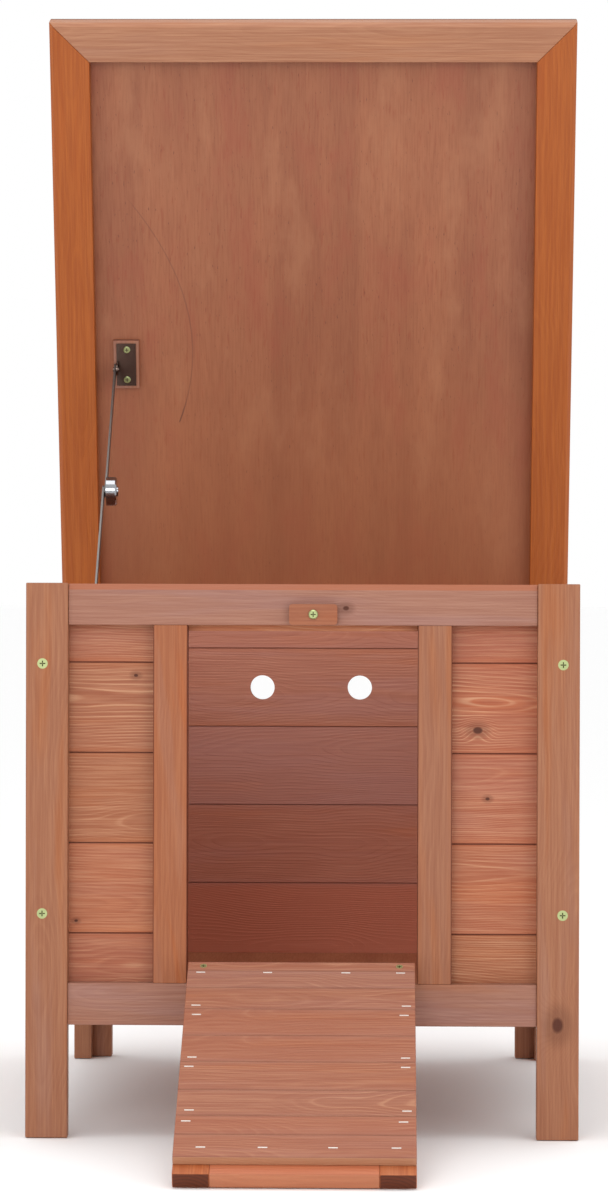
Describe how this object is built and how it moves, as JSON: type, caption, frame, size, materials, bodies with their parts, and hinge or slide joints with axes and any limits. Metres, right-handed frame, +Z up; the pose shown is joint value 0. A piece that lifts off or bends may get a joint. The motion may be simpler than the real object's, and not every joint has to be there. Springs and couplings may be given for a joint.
{
  "type": "rabbit hutch",
  "caption": "Small raised timber hutch with plank walls, a hinged lift-up roof on a folding stay, a fold-down ramp door with a wooden turn button, and vent holes.",
  "frame": {"origin": "on the ground, at the middle of the footprint of the whole hutch as it stands with its roof open and ramp down", "axes": "+Z up, +Y from the doorway towards the hinged back, +X to the right as seen from the front"},
  "size_m": [0.532, 0.9462, 1.0698],
  "materials": {
    "body_timber": "stained satin",
    "plank_timber": "stained satin",
    "ramp_timber": "stained satin",
    "roof_timber": "stained satin",
    "plywood": "stained matte",
    "roof_felt": "mineral grit",
    "zinc_steel": "zinc plated",
    "chrome": "polished",
    "screw_zinc": "yellow zinc"
  },
  "bodies": {
    "body": {"back_bottom_rail": "body_timber", "back_plank_vented": "plank_timber", "back_planks": "plank_timber", "back_post_left": "body_timber", "back_post_right": "body_timber", "back_top_rail": "body_timber", "body_screws": "screw_zinc", "door_stile_left": "body_timber", "door_stile_right": "body_timber", "door_stop": "plank_timber", "floor_panel": "plywood", "front_bottom_rail": "body_timber", "front_plank_left_1": "plank_timber", "front_plank_left_2": "plank_timber", "front_plank_left_3": "plank_timber", "front_plank_left_4": "plank_timber", "front_plank_left_5": "plank_timber", "front_plank_right_1": "plank_timber", "front_plank_right_2": "plank_timber", "front_plank_right_3": "plank_timber", "front_plank_right_4": "plank_timber", "front_plank_right_5": "plank_timber", "front_post_left": "body_timber", "front_post_right": "body_timber", "front_top_rail": "body_timber", "hinge_pins": "zinc_steel", "ramp_hinge_body_leaves": "zinc_steel", "roof_hinge_body_leaves": "zinc_steel", "side_bottom_rail_left": "body_timber", "side_bottom_rail_right": "body_timber", "side_planks_left": "plank_timber", "side_planks_right": "plank_timber", "side_post_back_left": "body_timber", "side_post_back_right": "body_timber", "side_post_front_left": "body_timber", "side_post_front_right": "body_timber", "side_top_rail_left": "body_timber", "side_top_rail_right": "body_timber", "stay_wall_bracket": "zinc_steel"},
    "roof": {"roof_felt": "roof_felt", "roof_hinge_roof_leaves": "zinc_steel", "roof_panel": "plywood", "roof_rail_back": "roof_timber", "roof_rail_front": "roof_timber", "roof_rail_left": "roof_timber", "roof_rail_right": "roof_timber", "roof_screws": "screw_zinc", "stay_block": "body_timber", "stay_roof_bracket": "zinc_steel"},
    "ramp": {"ramp_batten_left": "ramp_timber", "ramp_batten_right": "ramp_timber", "ramp_cross_battens": "ramp_timber", "ramp_hinge_ramp_leaves": "zinc_steel", "ramp_planks": "ramp_timber", "ramp_screws": "screw_zinc", "ramp_staples": "zinc_steel"},
    "stay_upper": {"stay_upper_arm": "zinc_steel", "stay_knob": "chrome"},
    "stay_lower": {"stay_lower_arm": "zinc_steel"},
    "button": {"turn_button": "body_timber"}
  },
  "joints": [
    {"name": "roof_hinge", "type": "hinge", "parent": "body", "child": "roof", "pos_m": [0, 0.45027, 0.4477], "axis": [1, 0, 0], "range_deg": [0, 67.06]},
    {"name": "ramp_hinge", "type": "hinge", "parent": "body", "child": "ramp", "pos_m": [0, -0.17803, 0.14], "axis": [-1, 0, 0], "range_deg": [0, 116.36]},
    {"name": "button_turn", "type": "hinge", "parent": "body", "child": "button", "pos_m": [0.0095, -0.17823, 0.474], "axis": [0, 1, 0], "continuous": true},
    {"name": "stay_upper_fold", "type": "hinge", "parent": "roof", "child": "stay_upper", "pos_m": [-0.2069, 0.36932, 0.71949], "axis": [1, 0, 0], "range_deg": [-29, 0]},
    {"name": "stay_lower_fold", "type": "hinge", "parent": "body", "child": "stay_lower", "pos_m": [-0.2091, 0.09677, 0.468], "axis": [1, 0, 0], "range_deg": [-119.53, 0]}
  ],
  "couplings": [
    {"joint": "stay_upper_fold", "follows": "roof_hinge", "ratio": -0.42501},
    {"joint": "stay_lower_fold", "follows": "roof_hinge", "ratio": -1.775}
  ]
}
